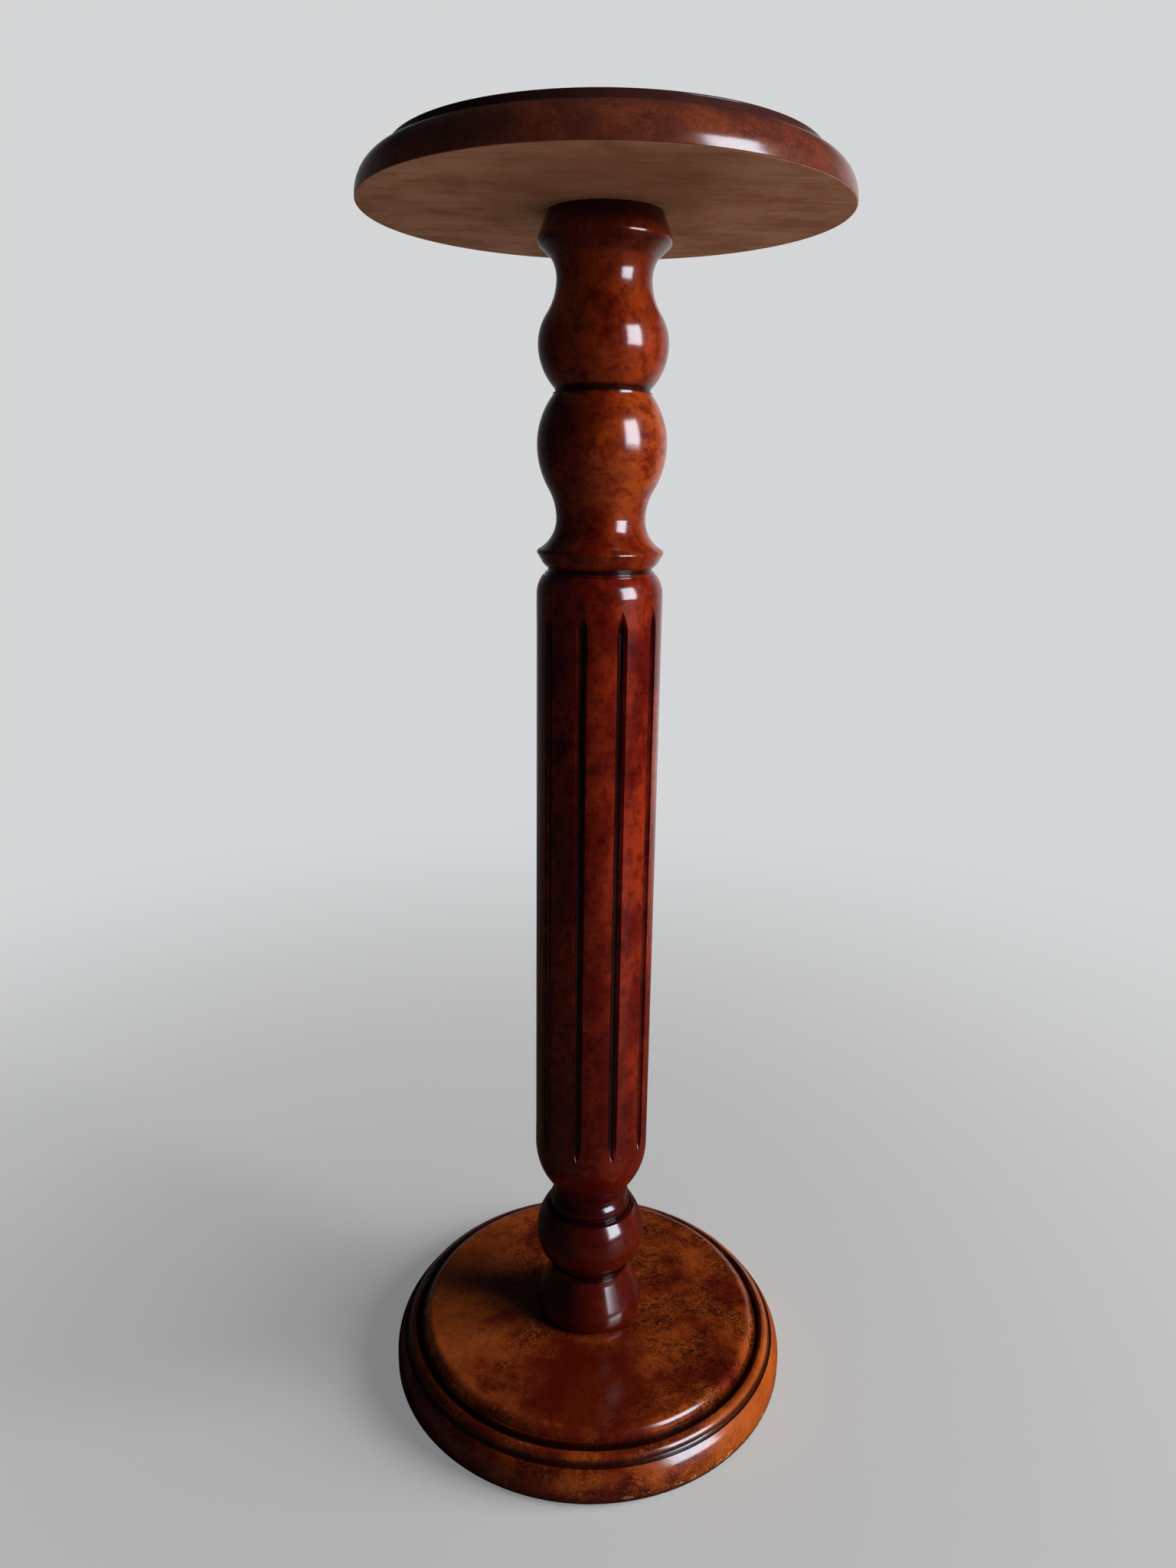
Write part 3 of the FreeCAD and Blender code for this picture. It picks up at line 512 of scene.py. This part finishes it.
# %% Brown felt
FELT_DARK = rgb(0.030, 0.018, 0.012)
FELT_PALE = rgb(0.075, 0.048, 0.034)
felt = Finish("brown felt", FELT_DARK)
felt_nap = felt.noise(0.35, detail=4.0, roughness=0.7)
felt.lay(FELT_PALE, felt.ramp(felt_nap, 0.3, 0.7))
felt.close(Roughness=0.95, Normal=felt.bump(felt_nap, 0.25), Sheen_Weight=0.4)

# %% [markdown]
# ## Dressing the pieces
# The pieces came with plain materials. Each one gets its finish in its first material slot,
# and the meshes are left as they are. A table names the finish of every single piece, and
# the dowels, pins and pads, of which there are several, are found by their names.

# %% Hand out the finishes
FINISH_OF = {
    "top_board": top, "base_board": base,
    "vase_turning": vase, "fluted_shaft": shaft, "foot_turning": foot,
    "top_stud": steel, "base_bolt": steel, "base_washer": steel,
    "top_insert_nut": brass, "base_insert_nut": brass,
}
for piece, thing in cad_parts.items():
    if "dowel" in piece or "pin" in piece:
        FINISH_OF[piece] = beech
    if "felt_pad" in piece:
        FINISH_OF[piece] = felt
    thing.data.materials[0] = FINISH_OF[piece].material
print("dressed", len(FINISH_OF), "pieces")

# %% [markdown]
# ## Floor
# The stand is shown on a plain pale floor, which catches its shadow and throws soft light up
# at the underside of the top. Near the stand the floor is mostly ordinary paint. Far out it
# would turn grey, since lamps fade with distance, so there it fades into a glow of the
# backdrop's tone, which the camera and the gloss meet, but which lights nothing.
#
# The lacquer would mirror a pale floor as a grey veil, so gloss meets a darker paint and a
# darker glow than the camera does. Only the pale backdrop behind the stand is left in it.
# Floor and backdrop have to agree on that in every direction, or the lacquer would show a
# horizon, so one function gives the share for both.

# %% Pale floor
PALE = rgb(0.66, 0.67, 0.68)
DIM = rgb(0.016, 0.016, 0.018)
FLOOR_LIT = rgb(0.62, 0.61, 0.59)
FLOOR_SEEN = rgb(0.84, 0.83, 0.81)
FLOOR_IN_GLOSS = rgb(0.11, 0.08, 0.06)
FLOOR_WIDTH = 14.0


def backdrop_share(graph, backward, sideways):
    """How pale the gloss meets a direction: pale behind the stand, and less so at the left."""
    return graph.times(graph.ramp(backward, 0.22, 0.90),
                       graph.ramp(sideways, -0.7, 0.6, 0.12, 1.0))


bpy.ops.object.select_all(action="DESELECT")
bpy.ops.mesh.primitive_plane_add(size=FLOOR_WIDTH, location=(0, 0, 0))
floor = bpy.context.object
floor.name = "floor"
paint = Finish("pale floor", FLOOR_LIT)
seen = paint.rays("Is Camera Ray", "Is Transmission Ray")
mirrored = paint.rays("Is Glossy Ray")
paint.lay(FLOOR_SEEN, seen)
paint.lay(FLOOR_IN_GLOSS, mirrored)
paint.close(Roughness=0.6, Specular_IOR_Level=0.1)
floor.data.materials.append(paint.material)
print("floor", floor.dimensions[0], "m wide")

# %% The glow of the floor far out
far_share = paint.math("MAXIMUM",
                       paint.times(paint.ramp(paint.reach, 100, 1200, 0.30, 1.0), seen),
                       paint.times(paint.ramp(paint.reach, 400, 1600), mirrored))
backward = paint.math("DIVIDE", paint.along, paint.reach)
sideways = paint.math("DIVIDE", paint.across, paint.reach)
pale_share = paint.math("MAXIMUM", backdrop_share(paint, backward, sideways), seen)
glow = paint.node("ShaderNodeEmission", {"Color": paint.blend(pale_share, DIM, PALE)})
mixed = paint.node("ShaderNodeMixShader", {0: far_share, 1: paint.shader.outputs[0],
                                           2: glow.outputs[0]})
paint.feed(paint.output.inputs[0], mixed.outputs[0])
print("the floor fades out in", len(paint.nodes), "nodes")

# %% [markdown]
# ## Backdrop
# The world is dark, apart from a pale backdrop. The camera sees it all round. Gloss meets it
# only behind the stand, at a grazing angle, which draws a pale rim along both sides of the
# column. There the backdrop is a low band: its upper part would lie in the polish of the
# base as a grey veil.

# %% A dark world with a pale backdrop
world = bpy.data.worlds.new("studio")
bpy.context.scene.world = world
world.use_nodes = True
sky = Graph(world.node_tree)
direction = sky.node("ShaderNodeTexCoord").outputs["Generated"]
across, along, above = sky.node("ShaderNodeSeparateXYZ", {0: direction}).outputs
low_band = sky.times(backdrop_share(sky, along, across), sky.ramp(above, 0.30, 0.55, 1.0, 0.0),
                     sky.rays("Is Glossy Ray"))
pale_share = sky.math("MAXIMUM", low_band, sky.rays("Is Camera Ray", "Is Transmission Ray"))
backdrop = sky.node("ShaderNodeBackground", {"Color": sky.blend(pale_share, DIM, PALE)})
sky.node("ShaderNodeOutputWorld", {0: backdrop.outputs[0]})
print("world:", world.name, "with", len(sky.nodes), "nodes")

# %% [markdown]
# ## Light
# Gloss needs something to reflect: every bulb of the column shows one tall, bright pane, as
# of a window four metres off to the right. The panes on bulbs at several heights gave its
# direction, its sill and its head. The light of that window grazes the column, so the right
# flank glows orange, the middle is deep red and the left is almost black.
#
# One lamp could do both, but a display squeezes what a camera sees: a pane bright enough to
# look white would wash out the wood. So the pane is a lamp that only gloss can see, and the
# light on the wood comes from a second lamp beside it, which gloss can't see.

# %% A pane for the gloss, and a light for the wood
WINDOW_DISTANCE = 4.2
PANE_LEVEL = 1.75
PANE_BLUE = (0.78, 0.88, 1.0)


def window_light(name, azimuth, level, size, watts, aim_level):
    """An area lamp at an azimuth from the viewer's side, turned to a height on the axis."""
    turn = math.radians(azimuth)
    place = Vector((WINDOW_DISTANCE * math.sin(turn), -WINDOW_DISTANCE * math.cos(turn), level))
    aim = Vector((0, 0, aim_level))
    lamp = bpy.data.lights.new(name, "AREA")
    lamp.shape = "RECTANGLE"
    lamp.size, lamp.size_y = size
    lamp.energy = watts
    holder = bpy.data.objects.new(name, lamp)
    bpy.context.collection.objects.link(holder)
    holder.location = place
    holder.rotation_euler = (aim - place).to_track_quat("-Z", "Y").to_euler()
    return holder


pane = window_light("window pane", azimuth=56, level=PANE_LEVEL, size=(2.0, 2.65), watts=310,
                    aim_level=PANE_LEVEL)
pane.data.color = PANE_BLUE
pane.visible_diffuse = False
key = window_light("window light", azimuth=79, level=1.73, size=(3.2, 3.1), watts=262,
                   aim_level=0.5)
key.visible_glossy = False
print("lamps:", pane.data.energy, key.data.energy, "W")

# %% [markdown]
# ## Camera
# The photograph was taken from 62 cm in front of the column, level with the lower bulb of
# its vase turning and looking down. The camera's place and lens were solved from the
# ellipses of the top and the base. A camera looks along its own -Z, with +Y up and +X to the
# right, so the three directions make the columns of its matrix.

# %% The photograph's camera
FOCAL_PX = 1450.0
FRAME_PX = 2048
EYE = Vector((0.0, -619.5, 558.5)) * MM
PITCH, YAW, ROLL = (math.radians(a) for a in (15.3277, -0.4572, 0.7801))
ahead = Vector((math.sin(YAW) * math.cos(PITCH), math.cos(YAW) * math.cos(PITCH),
                -math.sin(PITCH)))
level_right = Vector((math.cos(YAW), -math.sin(YAW), 0.0))
level_up = level_right.cross(ahead)
right = math.cos(ROLL) * level_right + math.sin(ROLL) * level_up
upward = -math.sin(ROLL) * level_right + math.cos(ROLL) * level_up
camera_data = bpy.data.cameras.new("camera")
camera_data.sensor_width = 36.0
camera_data.lens = FOCAL_PX / FRAME_PX * camera_data.sensor_width
camera = bpy.data.objects.new("camera", camera_data)
bpy.context.collection.objects.link(camera)
turn = Matrix((right, upward, -ahead)).transposed().to_4x4()
camera.matrix_world = Matrix.Translation(EYE) @ turn
bpy.context.scene.camera = camera
bpy.context.scene.view_settings.view_transform = "Standard"
print("lens", round(camera_data.lens, 2), "mm")

# %% [markdown]
